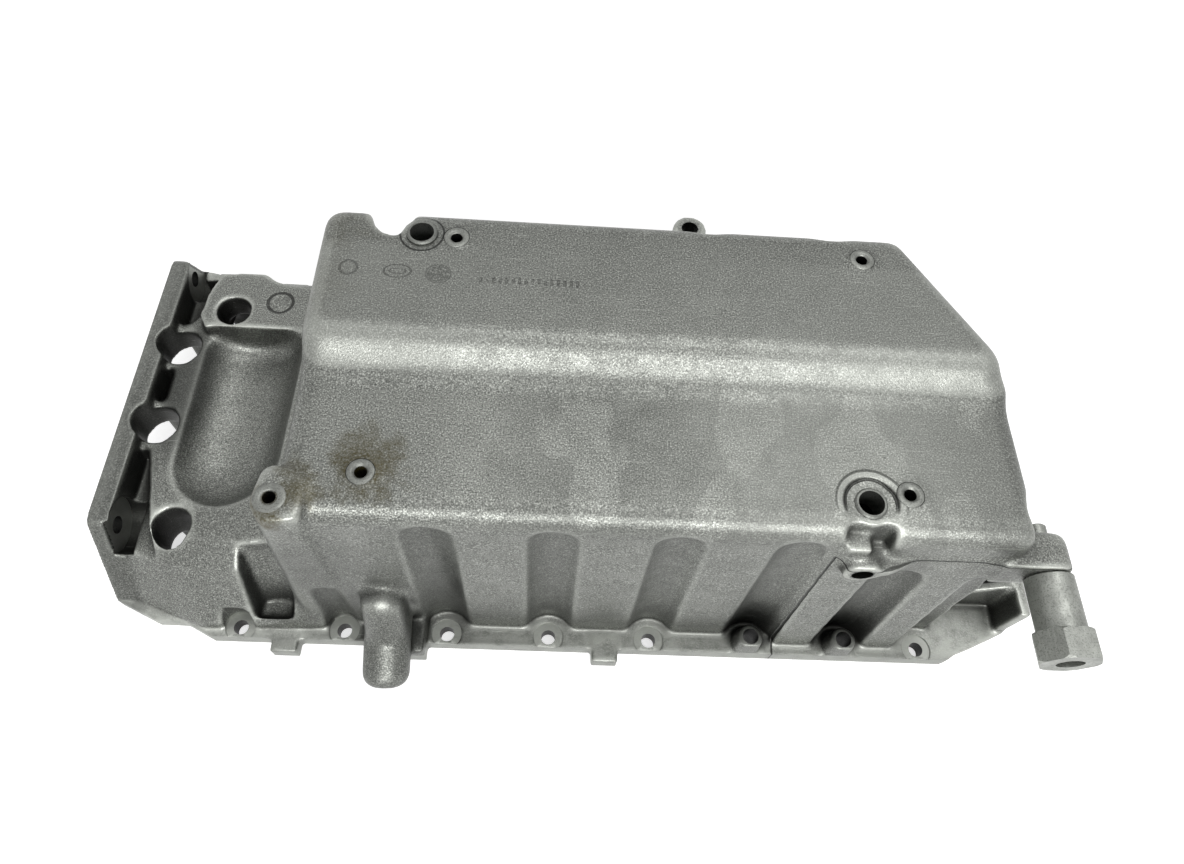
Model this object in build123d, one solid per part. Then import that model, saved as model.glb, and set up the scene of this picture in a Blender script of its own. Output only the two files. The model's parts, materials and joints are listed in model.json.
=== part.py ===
from build123d import *
import math
import os

# Engine oil pan, lying on its gasket face with its floor up. Millimetres, +Z up.
# Origin: middle of the four corner rail bolts, on the gasket face.
# Lengths along X count from the first front rail bolt, lengths along Y from the front bolt row.

# Rail and its bolts
rail_pitch = 50.0
plain_bolts = 5
boss_x = (248.5, 294.5)
bolt_span_x = 336.5
bolt_span_y = 206.0
rail_thick = 9.0
rail_lip = 5.0
bolt_hole = 7.0
spot_diameter = 14.5
spot_depth = 0.7
boss_diameter = 12.4
boss_flare = 2.0
boss_height = 23.0
boss_bore = 7.6
rail_tab_x = (22.5, 178.0)
rail_tab_width = 13.0
rail_tab_reach = 11.5
rail_tab_height = 9.6
rail_left_corner = ((-42.0, 2.0), (-27.0, 1.4), (-14.0, -rail_lip))
rail_right_corner = ((352.0, -rail_lip), (358.0, -1.1), (366.5, 2.2), (382.0, 9.1))
rail_rear_corner = ((24.0, 0.0), (0.0, 28.5))
rail_rear_left = -20.0

# Deep box
box_left = 38.5
box_right = 345.0
box_front = 4.5
box_rear = 157.0
box_chamfer_x = 303.0
box_chamfer_y = 84.0
floor_high = 144.0
step_height = 12.0
floor_low = floor_high - step_height
step_top_y = 85.0
step_foot_y = 72.0
draft_angle = 2.2
wall = 5.0
corner_radius = 13.0
floor_radius = 10.0
step_radius = 14.0

# Scallops in the front wall, one behind each middle bolt
scallop_radius = 13.0
scallop_axis_y = -2.0
scallop_lean = 3.2
scallop_top = floor_low - 6.0

# Shallow upright waves in the right and rear walls
wave_radius = 16.0
wave_depth = 4.0
right_wave_y = 23.8
rear_waves_x = (213.5, 268.9)

# Thick lower wall under the ledge, at the front right
ledge_left = 262.0
ledge_height = floor_low - 18.0
ledge_scallop_top = ledge_height - 10.0
ledge_foot_y = 0.5
ledge_top_y = 7.8
ledge_depth = 16.0

# Gearbox end
flange_outer = -62.0
flange_thick = 10.0
flange_top = 57.0
flange_top_y = (33.0, 186.0)
flange_foot_y = (11.0, 208.0)
flange_foot_z = 9.5
arch_y = (52.0, 170.0)
arch_top = 35.0
flange_corner = 6.0
roof_height = 53.0
roof_front_y = 22.0
roof_rear_y = 176.0
roof_shell = 5.0
roof_bevel_drop = 9.0
roof_bevel_run = 7.0
saddle_x = -10.0
saddle_radius = 30.0
saddle_floor = 39.0
saddle_y = (70.0, 142.0)
saddle_end_round = 9.0
roof_middle_x = -18.0
shoulder_height = 63.0
shoulder_front_y = 14.0
shoulder_rear_y = 168.0
platform_height = 60.0
platform_foot = 30.0
platform_front = ((-38.0, 148.0), (-34.0, 141.0), (30.0, 141.0), (30.0, 168.0))
platform_rear = ((5.3, 170.7), (-2.8, 172.6), (-10.0, 177.7), (-34.0, 176.5), (-37.0, 161.0))
bulkhead_x = -14.0
flange_window_diameter = 20.0
flange_windows = ((-47.0, 134.0), (-47.0, 88.0))
roof_windows = ((-26.5, 34.5), (-21.3, 152.3))
roof_window_diameters = (18.5, 17.0)
window_rib = 5.0
window_foot = 16.0
gearbox_bolt_y = (37.4, 184.5)
gearbox_bolt_z = 42.5
gearbox_bolt_hole = 8.5
gearbox_spot = 27.0
gearbox_spot_sunk = 3.0
gearbox_spot_reach = 9.0

# Grooves between the flange plate and the roof
groove_floor = 40.0
groove_front = ((-52.0, 19.0), (-33.0, 19.0), (-40.0, 46.0), (-48.0, 74.0), (-52.0, 74.0))
groove_middle = ((-52.0, 101.5), (-47.5, 101.5), (-47.5, 120.5), (-52.0, 120.5))
groove_rear = ((-52.0, 148.0), (-46.0, 150.0), (-38.0, 161.0), (-33.0, 174.0), (-36.0, 178.0), (-52.0, 178.0))
groove_shell = 5.0
spot_shell = 5.0
hollow_near_end = -30.0
pad_place = (1.5, 158.5)
pad_diameter = 11.0
pad_groove = 1.6
pad_depth = 1.2

# Shallow rear part and the end wall
shelf_height = 42.0
shelf_front_y = 140.0
shelf_slope = 10.0
bolt_clear = 8.5
end_wall_x = 379.0
end_wall_thick = 6.0
end_wall_height = 37.0
end_wall_y = (10.5, 150.0)
end_web_y = 25.0
end_web_thick = 4.5
low_roof = 14.0

# Floor bores with ring dowels, and floor screws
dowel_places = ((272.3, 23.8), (88.0, 136.1))
dowel_bore = 13.0
dowel_inner = 10.3
dowel_length = 12.0
dowel_proud = 0.8
dowel_boss = 18.4
bore_depth = 24.0
dowel_sunk = (0.8, -0.6)
pocket_depth = 9.0
press_clearance = 0.01
screw_front_y = 27.8
screw_rear_y = 135.1
screw_front_x = (288.2, 75.9)
screw_rear_x = (279.9, 102.8)
corner_screw = (44.7, 15.2)
screw_boss = 11.0
screw_proud = 0.8
screw_hole = 5.0
screw_depth = 14.0
screw_root = 18.0

# Pockets beside the two ring dowels
front_recess = 22.0
front_recess_depth = 2.5
front_step_y = (6.8, 15.0)
front_step_side = 0.8
front_step_right = 1.5
front_step_drop = 8.0
front_pocket_step = 6.0
front_pocket_foot = 100.0
rear_notch_corners = ((63.5, 151.0), (65.0, 146.5), (67.0, 141.0), (70.5, 136.8), (75.0, 135.5), (83.0, 135.5))
rear_notch_back = 170.0
rear_notch_depth = 27.0
rear_slot_x = (80.0, 95.5)
rear_slot_y = (134.0, 143.5)

# Front boss under the ledge, front tube, corner lug, eyelet
front_boss_place = (273.0, ledge_height - 3.5)
front_boss_face = 2.0
front_boss_diameter = 16.0
lip_outline = ((263.5, 12.0), (266.0, 5.0), (270.0, 2.5), (284.0, 2.5), (297.0, 8.5))
lip_drop = 3.0
front_boss_hole = 8.5
front_boss_depth = 14.0
tube_x = 74.5
tube_z = 14.0
tube_tilt = 29.0
tube_diameter = 22.0
tube_bore = 14.0
tube_end_y = -27.0
tube_length = 42.0
tube_round = 6.5
tube_elbow = 25.0
tube_neck_y = 4.0
tube_neck_top = 60.0
tube_web_x = (6.0, 16.0)
tube_web_height = 17.0
lug_top = floor_low + 1.5
lug_outline = ((37.0, 13.0), (42.5, 5.5), (57.5, 6.5), (56.0, 26.0), (40.0, 30.5))
column_foot = ((25.0, 11.0), (33.0, 2.5), (59.5, 4.5), (58.0, 28.0), (30.0, 32.5))
lug_corner = 5.0
column_groove_radius = 8.5
column_groove_top = 61.0
corner_recess_foot = ((9.5, 2.0), (26.0, 2.0), (26.0, 11.5), (19.0, 12.5), (11.0, 11.5))
corner_recess_top = ((6.0, 2.0), (34.0, 2.0), (34.0, 25.0), (19.0, 25.5), (8.0, 24.5))
corner_recess_floor = 14.0
corner_recess_height = 52.0
boss_groove_radius = 12.25
boss_groove_top = 70.0
eye_place = (213.5, 190.0)
eye_height = 99.0
eye_thick = 9.0
eye_diameter = 17.5
eye_hole = 8.5
eye_web = 8.0

# Sleeve at the right end, on its lug
sleeve_x = 353.0
sleeve_z = ledge_height - 9.0
sleeve_diameter = 19.0
sleeve_face_y = 6.0
sleeve_length = 23.1
hex_width = 22.0
hex_length = 12.1
sleeve_thread = 10.5
sleeve_counterbore = 5.0
lug_thick = 17.0
lug_side = 7.4
lug_high = 10.5
lug_low = 9.5
lug_round = 6.0
lug_back_round = 4.5
lug_root = 14.0
lug_plate_thick = 4.0
stud_diameter = 8.0
stud_end_y = 28.5
stud_in_sleeve = 14.0

# Drain plug on the hidden rear wall
drain_x = 165.0
drain_z = 104.0
drain_thread = 14.0
drain_boss = 26.0
drain_boss_reach = 4.0
drain_washer_diameter = 22.0
drain_washer_thick = 1.5
drain_flange = 21.0
drain_flange_thick = 3.0
drain_hex = 17.0
drain_hex_length = 7.0
drain_plug_length = 16.0

x0 = -bolt_span_x / 2
y0 = -bolt_span_y / 2
rail_bolts_x = [rail_pitch * i for i in range(plain_bolts)] + [bolt_span_x]
wall_at_left = box_left + wall
front_screws = [(x, screw_front_y) for x in screw_front_x]
rear_screws = [(x, screw_rear_y) for x in screw_rear_x]


def slab(points, bottom, top):
    """A flat-sided block over an outline of X and Y points, between two heights."""
    face = make_face(Polyline([(x0 + x, y0 + y) for x, y in points], close=True))
    return Pos(0, 0, bottom) * extrude(face, top - bottom)


def block(xs, ys, zs):
    """A box from its ranges along X, Y and Z."""
    return slab([(xs[0], ys[0]), (xs[1], ys[0]), (xs[1], ys[1]), (xs[0], ys[1])], zs[0], zs[1])


def along_x(points, start, end):
    """A bar along X over an outline of Y and Z points."""
    face = make_face(Polyline([(0, y0 + y, z) for y, z in points], close=True))
    return Pos(x0 + start, 0, 0) * extrude(face, end - start, dir=(1, 0, 0))


def along_y(points, start, end):
    """A bar along Y over an outline of X and Z points."""
    face = make_face(Polyline([(x0 + x, 0, z) for x, z in points], close=True))
    return Pos(0, y0 + start, 0) * extrude(face, end - start, dir=(0, 1, 0))


def post(place, diameter, bottom, top):
    """An upright cylinder."""
    radius = diameter / 2
    return Pos(x0 + place[0], y0 + place[1], (bottom + top) / 2) * Cylinder(radius, top - bottom)


def pin_y(x, z, diameter, start, end):
    """A cylinder along Y."""
    middle = (start + end) / 2
    return Pos(x0 + x, y0 + middle, z) * Rot(90, 0, 0) * Cylinder(diameter / 2, end - start)


def pin_x(y, z, diameter, start, end):
    """A cylinder along X."""
    middle = (start + end) / 2
    return Pos(x0 + middle, y0 + y, z) * Rot(0, 90, 0) * Cylinder(diameter / 2, end - start)


def hex_y(x, z, width, start, end):
    """A hexagon bar along Y, by its width across flats."""
    prism = extrude(RegularPolygon(width / 2, 6, major_radius=False), end - start)
    return Pos(x0 + x, y0 + end, z) * Rot(90, 0, 0) * prism


def step_cut(shift):
    """What is above the floor: high floor, sloped band, low floor, lowered by a shift."""
    high = floor_high - shift
    low = floor_low - shift
    above = floor_high + rail_thick
    profile = Polyline(
        [
            (0, y0 - rail_lip * 4, low),
            (0, y0 + step_foot_y + shift * 0.3, low),
            (0, y0 + step_top_y + shift * 0.3, high),
            (0, y0 + box_rear + wall, high),
            (0, y0 + box_rear + wall, above),
            (0, y0 - rail_lip * 4, above),
        ],
        close=True,
    )
    face = make_face(profile)
    corners = [v for v in face.vertices() if y0 + step_foot_y - 1 < v.Y < y0 + step_top_y + wall]
    face = fillet(corners, step_radius)
    return Pos(x0, 0, 0) * extrude(face, box_right + wall, dir=(1, 0, 0))


def box_outline(inset):
    """Plan of the deep box at the gasket face, moved inwards by an inset."""
    corner = inset * 0.45
    return [
        (box_left + inset, box_front + inset),
        (box_right - inset, box_front + inset),
        (box_right - inset, box_chamfer_y - corner),
        (box_chamfer_x - corner, box_rear - inset),
        (box_left + inset, box_rear - inset),
    ]


def box_body(inset):
    """The deep box with drafted walls and a stepped floor, moved inwards by an inset."""
    outline = [(x0 + x, y0 + y) for x, y in box_outline(inset)]
    face = make_face(Polyline(outline, close=True))
    face = fillet(face.vertices(), corner_radius - inset * 0.8)
    body = extrude(face, floor_high, taper=draft_angle)
    body = body - step_cut(inset)
    rims = body.edges().filter_by(lambda e: e.center().Z > floor_low - inset - 1)
    rims = [e for e in rims if touches_wall(e, body)]
    return fillet(rims, floor_radius - inset)


def touches_wall(edge, body):
    """True where one of an edge's two faces is a wall and the other is the floor."""
    steep = 0
    faces = [f for f in body.faces() if any(edge.is_same(e) for e in f.edges())]
    for face in faces:
        if abs(face.normal_at().Z) < 0.3:
            steep = steep + 1
    return steep == 1


def scallop(x, radius, top):
    """An upright round-ended cutter that leans with the wall."""
    tilt = math.degrees(math.atan((scallop_lean) / 100.0))
    length = top - radius
    shaft = Pos(0, 0, length / 2) * Cylinder(radius, length)
    cutter = shaft + Pos(0, 0, length) * Sphere(radius)
    leaning = Pos(x0 + x, y0 + scallop_axis_y, 0) * Rot(-tilt, 0, 0) * cutter
    start = rail_thick - radius + scallop_radius
    below = block((x - 2 * radius, x + 2 * radius), (-2 * radius, 2 * radius), (-radius, start))
    return leaning - below


def waves(extra):
    """Shallow upright waves in the right and rear walls, grown by an extra radius."""
    radius = wave_radius + extra
    reach = wave_radius - wave_depth
    shaft = Cylinder(radius, 2 * floor_high)
    cutters = Pos(x0 + box_right + reach, y0 + right_wave_y, 0) * Rot(0, -draft_angle, 0) * shaft
    for x in rear_waves_x:
        cutters = cutters + Pos(x0 + x, y0 + box_rear + reach, 0) * Rot(draft_angle, 0, 0) * shaft
    far = 4 * wave_radius
    low = shelf_height + 4 - extra
    below = block((0, box_right + far), (0, box_rear + far), (-2 * floor_high, low))
    return cutters - below


def scallops(extra):
    """The cutters of the front wall, grown by an extra radius."""
    cutters = []
    for x in (2 * rail_pitch, 3 * rail_pitch, 4 * rail_pitch, boss_x[0]):
        cutters.append(scallop(x, scallop_radius + extra, scallop_top + extra))
    for x in (boss_x[1], bolt_span_x):
        cutters.append(scallop(x, scallop_radius + extra, ledge_scallop_top + extra))
    return cutters


def rail():
    """The gasket rail over its whole outline, with its tabs."""
    near = -rail_lip
    far = bolt_span_y + rail_lip
    end = end_wall_x + end_wall_thick
    points = [
        (flange_outer, flange_foot_y[0]),
        *rail_left_corner,
        *rail_right_corner,
        (end, end_wall_y[0]),
        *[(end - back, far - down) for back, down in reversed(rail_rear_corner)],
        (rail_rear_left, far),
        (flange_outer, flange_foot_y[1]),
    ]
    plate = slab(points, 0, rail_thick)
    tabs = []
    for x in rail_tab_x:
        half = rail_tab_width / 2
        tabs.append(block((x - half, x + half), (-rail_tab_reach, near + 8), (0, rail_tab_height)))
    return plate + tabs


def gearbox_end():
    """Flange plate and the arched body between it and the box."""
    low_y, high_y = flange_foot_y
    plate_points = [
        (low_y, 0),
        (low_y, flange_foot_z),
        (flange_top_y[0], flange_top),
        (flange_top_y[1], flange_top),
        (high_y, flange_foot_z),
        (high_y, 0),
    ]
    inner = flange_outer + flange_thick
    plate = along_x(plate_points, flange_outer, inner)
    corners = plate.edges().filter_by(Axis.X).sort_by(Axis.Z)[-2:]
    plate = fillet(corners, flange_corner)
    near_face = arch_face(inner, (low_y, high_y), flange_foot_z, flange_top_y, roof_height - 3)
    middle_feet = (-1, bolt_span_y + 1)
    middle_tops = (roof_front_y, roof_rear_y)
    middle_face = arch_face(roof_middle_x, middle_feet, rail_thick + 4, middle_tops, roof_height)
    far_feet = (1, bolt_span_y + 1)
    far_tops = (shoulder_front_y, shoulder_rear_y)
    far_face = arch_face(wall_at_left, far_feet, rail_thick + 5, far_tops, shoulder_height)
    near_part = loft([near_face, middle_face], ruled=True)
    far_part = loft([middle_face, far_face], ruled=True)
    return plate + near_part + far_part


def arch_face(x, feet, foot_height, tops, top):
    """Upright outline across the gearbox end: low feet, slopes and a bevel up to a flat roof."""
    share = roof_bevel_drop / (top - foot_height)
    bevel_y = tops[0] - share * (tops[0] - feet[0])
    points = [
        (feet[0], 0),
        (feet[0], foot_height),
        (bevel_y, top - roof_bevel_drop),
        (tops[0] + roof_bevel_run, top),
        (tops[1], top),
        (feet[1], foot_height),
        (feet[1], 0),
    ]
    return make_face(Polyline([(x0 + x, y0 + y, z) for y, z in points], close=True))


def saddle(extra):
    """The round-ended trough between the flange and the box, grown by an extra radius."""
    radius = saddle_radius + extra
    centre = saddle_floor + saddle_radius
    start, end = saddle_y
    trough = pin_y(saddle_x, centre, 2 * radius, start, end + extra)
    trough = fillet(trough.edges().sort_by(Axis.Y)[-1], saddle_end_round + extra)
    front = Pos(x0 + saddle_x, y0 + start, centre) * Sphere(radius)
    return trough + front


def platform():
    """The flat raised area behind the trough."""
    return slab([*platform_front, *platform_rear], platform_foot, platform_height)


def grooves():
    """The narrow grooves between the flange plate and the roof."""
    cuts = []
    for outline in (groove_front, groove_middle, groove_rear):
        cuts.append(slab(outline, groove_floor, shoulder_height))
    return cuts


def shelf(inset):
    """The shallow rear part beside the deep box, moved inwards by an inset."""
    far = bolt_span_y - bolt_clear - inset
    top = shelf_height - inset
    profile = [
        (shelf_front_y + inset, 0),
        (shelf_front_y + inset, top),
        (far - shelf_slope, top),
        (far, rail_thick),
        (far, 0),
    ]
    return along_x(profile, box_left - 20 + inset, box_right - 6 - inset)


def right_end():
    """End wall, its web and the low floor between it and the box."""
    start, end = end_wall_y
    outer = end_wall_x + end_wall_thick
    wall_points = [
        (start, 0),
        (start, end_wall_height),
        (end, end_wall_height),
        (end + 26, low_roof),
        (end + 26, 0),
    ]
    wall_plate = along_x(wall_points, end_wall_x, outer)
    web_points = [
        (box_right - wall, rail_thick),
        (box_right - wall, rail_thick + 8),
        (end_wall_x, end_wall_height),
        (end_wall_x + 1, rail_thick),
    ]
    web = along_y(web_points, end_web_y, end_web_y + end_web_thick)
    low = block((box_right - 10, end_wall_x + 1), (end_web_y + 1, end + 34), (0, low_roof))
    return wall_plate + web + low


def ledge():
    """The thick lower wall at the front right, with the ledge on top."""
    profile = [
        (ledge_foot_y, 0),
        (ledge_foot_y, rail_thick),
        (ledge_top_y, ledge_height),
        (ledge_depth, ledge_height),
        (ledge_depth, 0),
    ]
    return along_x(profile, ledge_left, sleeve_x - sleeve_diameter / 2 - 1)


def sleeve_lug():
    """The plate and the rounded lug that carry the hexagon sleeve."""
    back = sleeve_face_y + lug_thick
    heights = (sleeve_z - lug_low, sleeve_z + lug_high)
    arm = block((box_right - lug_root, sleeve_x + lug_side), (sleeve_face_y, back), heights)
    arm = fillet(arm.edges().filter_by(Axis.Y).sort_by(Axis.X)[-2:], lug_round)
    arm = fillet(arm.faces().sort_by(Axis.Y)[-1].edges(), lug_back_round)
    plate = block(
        (box_right - 20, sleeve_x - sleeve_diameter / 2),
        (ledge_top_y - 1, sleeve_face_y + 3),
        (ledge_height - lug_plate_thick, ledge_height),
    )
    rib = [
        (box_right - 4, 50),
        (box_right - 4, ledge_height - 1),
        (sleeve_x, ledge_height - 1),
    ]
    return arm + plate + along_y(rib, back - 8, back - 4)


def corner_lug():
    """The screw lug on the front left corner, on its column."""
    ends = []
    for outline, height in ((column_foot, 0), (lug_outline, lug_top)):
        face = make_face(Polyline([(x0 + x, y0 + y, height) for x, y in outline], close=True))
        ends.append(fillet(face.vertices(), lug_corner))
    return loft(ends)


def corner_recess():
    """The cutter of the hollow corner between the slope and the column, wider higher up."""
    heights = (corner_recess_floor, corner_recess_height)
    ends = []
    for outline, height in zip((corner_recess_foot, corner_recess_top), heights):
        ends.append(make_face(Polyline([(x0 + x, y0 + y, height) for x, y in outline], close=True)))
    return loft(ends, ruled=True) + slab(corner_recess_top, corner_recess_height, floor_low)


def upright_groove(x, radius, bottom, top):
    """A round-ended upright cutter about the axis of a front bolt."""
    centre = top - radius
    return post((x, 0), 2 * radius, bottom, centre) + Pos(x0 + x, y0, centre) * Sphere(radius)


def tube_bar(diameter, start, end):
    """A cylinder along the sloping axis of the front tube, measured from its free end."""
    place = Pos(x0 + tube_x, y0 + tube_end_y, tube_z) * Rot(tube_tilt, 0, 0)
    return place * Pos(0, (start + end) / 2, 0) * Rot(90, 0, 0) * Cylinder(diameter / 2, end - start)


def front_tube():
    """The short sloping tube cast onto the front wall, with its neck and its web."""
    outer = tube_bar(tube_diameter, 0, tube_length)
    outer = fillet(outer.edges().sort_by(Axis.Y)[0], tube_round)
    radius = tube_diameter / 2 - 1
    lean = math.radians(tube_tilt)
    elbow_y = tube_end_y + tube_elbow * math.cos(lean)
    elbow_z = tube_z + tube_elbow * math.sin(lean)
    run = tube_neck_y - elbow_y
    rise = tube_neck_top - radius - elbow_z
    length = math.hypot(run, rise)
    shaft = Pos(0, length / 2, 0) * Rot(90, 0, 0) * Cylinder(radius, length)
    neck = shaft + Sphere(radius) + Pos(0, length, 0) * Sphere(radius)
    turn = math.degrees(math.atan2(rise, run))
    neck = Pos(x0 + tube_x, y0 + elbow_y, elbow_z) * Rot(turn, 0, 0) * neck
    left, right = tube_web_x
    web = block((tube_x + left, tube_x + right), (-rail_tab_reach, box_front + 3), (0, tube_web_height))
    return outer + neck + web


def eyelet():
    """The lug with an upright hole behind the box, on its web."""
    low = eye_height - eye_thick
    ring = post(eye_place, eye_diameter, low, eye_height)
    half = eye_web / 2
    web_points = [
        (box_rear - 12, shelf_height - 2),
        (box_rear - 12, eye_height - 1),
        (eye_place[1] - eye_diameter / 2 + 3, eye_height - 1),
        (eye_place[1] - eye_diameter / 2 + 5, low + 1),
        (eye_place[1] - 2, shelf_height - 2),
    ]
    web = along_x(web_points, eye_place[0] - half, eye_place[0] + half)
    return ring + web


def front_boss():
    """The threaded boss that faces forward below the ledge."""
    x, z = front_boss_place
    back = ledge_depth - 2
    round_boss = pin_y(x, z, front_boss_diameter, front_boss_face, back)
    half = front_boss_diameter / 2
    lip = slab([*lip_outline, (lip_outline[-1][0], back), (lip_outline[0][0], back)], z - lip_drop, ledge_height)
    return round_boss + lip


def floor_bosses():
    """Raised rings round the floor screws."""
    bosses = []
    for place in front_screws + rear_screws:
        top = floor_at(place) + screw_proud
        bosses.append(post(place, screw_boss, top - screw_depth, top))
    return bosses


def screw_roots():
    """Metal round the screw holes on the inside of the floor."""
    roots = []
    for place in front_screws + rear_screws + [corner_screw]:
        top = floor_at(place)
        roots.append(post(place, screw_boss + 2, top - screw_root, top - 2))
    return roots


def floor_at(place):
    """Height of the floor at a place."""
    if place[1] > step_top_y:
        return floor_high
    return floor_low


def dowel_top(place):
    """Height of a dowel boss: the front one just under its floor, the rear one just over it."""
    return floor_at(place) - dowel_sunk[dowel_places.index(place)]


def pocket_walls():
    """Metal on the inside of the box that closes the two pockets off from the oil."""
    front, rear = dowel_places
    half = dowel_boss / 2 + wall
    low = floor_low - 2 * pocket_depth - wall
    front_block = block((front[0] - half, front[0] + half), (box_front, front[1] + half), (low, floor_low - 2))
    near = rear_slot_y[0] - wall
    low = floor_high - rear_notch_depth - wall
    ends = (rear_notch_corners[0][0] - wall, rear_slot_x[1] + wall)
    rear_block = block(ends, (near, box_rear), (low, floor_high - 2))
    return (front_block + rear_block) & box_body(0)


def bore_pockets():
    """Pockets in the box edge round the two dowel bosses."""
    front = dowel_places[0]
    half = dowel_boss / 2
    low = floor_low - pocket_depth
    front_cut = block((front[0] - half, front[0] + half), (-rail_tab_reach, front[1]), (low, floor_high))
    front_cut = front_cut + post(front, front_recess, floor_low - front_recess_depth, floor_high)
    ahead = (-rail_tab_reach, front[1] - half)
    front_cut = front_cut + block((front[0] - half, front[0] + half), ahead, (low - front_pocket_step, low))
    above = floor_high + 1
    ends = [(x, rear_notch_back) for x in (rear_notch_corners[-1][0], rear_notch_corners[0][0])]
    rear_cut = slab([*rear_notch_corners, *ends], floor_high - rear_notch_depth, above)
    rear_cut = rear_cut + block(rear_slot_x, rear_slot_y, (floor_high - 2 * pocket_depth, above))
    return [front_cut, rear_cut]


def bore_towers():
    """The dowel bosses in those pockets, with the block in front of the front one."""
    towers = []
    for place in dowel_places:
        top = dowel_top(place)
        towers.append(post(place, dowel_boss, top - bore_depth - wall, top))
    x, y = dowel_places[0]
    half = dowel_boss / 2
    ears = block((x - half, x + half), (y - half + 1, y), (front_pocket_foot + wall, dowel_top((x, y))))
    step_x = (x - half + front_step_side, x + front_step_right)
    step = block(step_x, front_step_y, (front_pocket_foot, floor_low - front_step_drop))
    return towers + [ears, step]


def cavity():
    """The inside, open at the gasket face."""
    deep = box_body(wall) - scallops(wall - 0.5) - waves(wall - 0.5)
    deep = deep - upright_groove(rail_pitch, column_groove_radius + wall - 1, 0, column_groove_top + wall)
    shallow = shelf(wall)
    join = block((box_left - 2, box_left + 30), (shelf_front_y - 20, box_rear + 2), (0, shelf_height - wall))
    roof = roof_height - 2 * wall
    points = [(24, -1), (24, rail_thick), (38, roof), (162, roof), (188, rail_thick + 3), (188, -1)]
    left = along_x(points, bulkhead_x + wall, wall_at_left) - saddle(roof_shell)
    left = left + block((wall_at_left - 1, wall_at_left + wall), (38, shelf_front_y), (-1, roof))
    right = block((box_right - 12, end_wall_x - 9), (end_web_y + 10, end_wall_y[1] + 20), (-1, low_roof - wall))
    return deep + shallow + join + left + right


def gearbox_hollow():
    """The open space under the gearbox end, outside the oil chamber."""
    inner = flange_outer + flange_thick
    top = groove_floor - groove_shell
    spot_low = gearbox_bolt_z - gearbox_spot / 2 - spot_shell
    near_points = [
        (16, -1),
        (16, rail_thick),
        (24, spot_low),
        (44, spot_low),
        (53.5, top - 1),
        (58, top),
        (164, top),
        (168.5, top - 1),
        (178, spot_low),
        (190, spot_low),
        (198, rail_thick),
        (198, -1),
    ]
    far_points = [
        (16, -1),
        (16, rail_thick),
        (36, roof_height - 9),
        (175, roof_height - 9),
        (198, rail_thick),
        (198, -1),
    ]
    near_part = along_x(near_points, inner, hollow_near_end)
    far_part = along_x(far_points, hollow_near_end, bulkhead_x)
    arch = block((flange_outer - 1, inner), arch_y, (-1, arch_top))
    return near_part + far_part - saddle(roof_shell) + arch


def window_ribs():
    """Upright ribs under the roof beside the windows."""
    ribs = []
    for y in (99.6, 146.5):
        ribs.append(block((-52, bulkhead_x + 1), (y, y + window_rib), (0, roof_height - 8)))
    ribs.append(block((-36, bulkhead_x + 1), (43.5, 43.5 + window_rib), (0, roof_height - 8)))
    ribs.append(block((-36, bulkhead_x + 1), (168, 168 + window_rib), (0, roof_height - 8)))
    return [rib - saddle(1) for rib in ribs]


def holes():
    """Every drilled or cored hole of the casting."""
    cuts = []
    for y in (0, bolt_span_y):
        for x in rail_bolts_x:
            cuts.append(post((x, y), bolt_hole, -1, rail_thick + 1))
            cuts.append(post((x, y), spot_diameter, rail_thick - spot_depth, boss_height))
    for x in boss_x:
        cuts.append(post((x, 0), boss_bore, -1, boss_height + 1))
        cuts.append(post((x, bolt_span_y), bolt_hole, -1, rail_thick + 1))
        cuts.append(post((x, bolt_span_y), spot_diameter, rail_thick - spot_depth, boss_height))
    for place in flange_windows:
        cuts.append(post(place, flange_window_diameter, window_foot, shoulder_height + 4))
    for place, diameter in zip(roof_windows, roof_window_diameters):
        cuts.append(post(place, diameter, window_foot, shoulder_height + 4))
    for y in gearbox_bolt_y:
        inner = flange_outer + flange_thick
        cuts.append(pin_x(y, gearbox_bolt_z, gearbox_bolt_hole, flange_outer - 1, inner + 1))
        spot_ends = (inner - gearbox_spot_sunk, inner - gearbox_spot_sunk + gearbox_spot_reach)
        cuts.append(pin_x(y, gearbox_bolt_z, gearbox_spot, *spot_ends))
    for place in dowel_places:
        top = floor_at(place)
        cuts.append(post(place, dowel_bore, top - dowel_length, top + 1))
        cuts.append(post(place, dowel_inner, top - bore_depth, top + 1))
    for place in front_screws + rear_screws + [corner_screw]:
        top = floor_at(place) + 2
        cuts.append(post(place, screw_hole, top - screw_depth, top + 1))
    cuts.append(upright_groove(rail_pitch, column_groove_radius, rail_thick, column_groove_top))
    cuts.append(upright_groove(boss_x[0], boss_groove_radius, boss_height, boss_groove_top))
    x, z = front_boss_place
    cuts.append(pin_y(x, z, front_boss_hole, front_boss_face - 1, front_boss_depth))
    cuts.append(tube_bar(tube_bore, -1, tube_length + 10))
    cuts.append(post(eye_place, eye_hole, eye_height - eye_thick - 1, eye_height + 1))
    cuts.append(pin_y(sleeve_x, sleeve_z, stud_diameter, 0, sleeve_face_y + lug_thick + 1))
    pad_ends = (platform_height - pad_depth, shoulder_height + 4)
    groove = post(pad_place, pad_diameter + 2 * pad_groove, *pad_ends)
    core = post(pad_place, pad_diameter, platform_height - 2 * pad_depth, platform_height - 0.3)
    cuts.append(groove - core)
    drain_ends = (box_rear - 4 * wall, box_rear + 2 * drain_boss_reach)
    cuts.append(pin_y(drain_x, drain_z, drain_thread, *drain_ends))
    return cuts


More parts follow.
